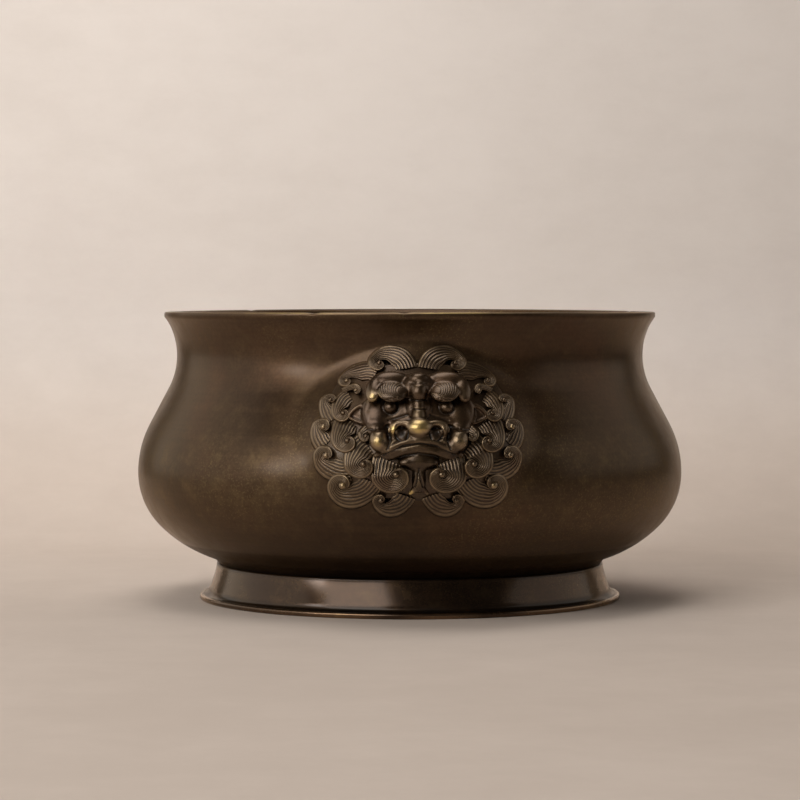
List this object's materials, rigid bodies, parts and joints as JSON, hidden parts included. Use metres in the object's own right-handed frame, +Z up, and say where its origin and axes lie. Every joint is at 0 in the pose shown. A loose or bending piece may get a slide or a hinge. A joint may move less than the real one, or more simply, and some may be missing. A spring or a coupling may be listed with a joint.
{
  "type": "bombe censer",
  "caption": "Round-bellied bronze incense bowl with a waisted neck, flared lip and low flanged foot, and a lion mask pinned to its front and back.",
  "frame": {"origin": "on the table, under the middle of the foot", "axes": "+Z up along the bowl's axis, the front mask faces -Y, +X to the right of someone facing the front mask"},
  "size_m": [0.24, 0.2772, 0.1271],
  "materials": {
    "bowl_bronze": "dark brown patinated bronze, satin",
    "foot_bronze": "dark brown patinated bronze, satin, edge worn bright",
    "mask_bronze": "dark patinated cast bronze, high points rubbed to brass",
    "pin_bronze": "hammered bronze"
  },
  "bodies": {
    "root": {"bowl": "bowl_bronze", "foot_ring": "foot_bronze", "base_flange": "foot_bronze", "front_mane": "mask_bronze", "front_head": "mask_bronze", "front_head_pin": "pin_bronze", "front_mane_pins": "pin_bronze", "front_washers": "pin_bronze", "rear_mane": "mask_bronze", "rear_head": "mask_bronze", "rear_head_pin": "pin_bronze", "rear_mane_pins": "pin_bronze", "rear_washers": "pin_bronze"}
  },
  "joints": []
}
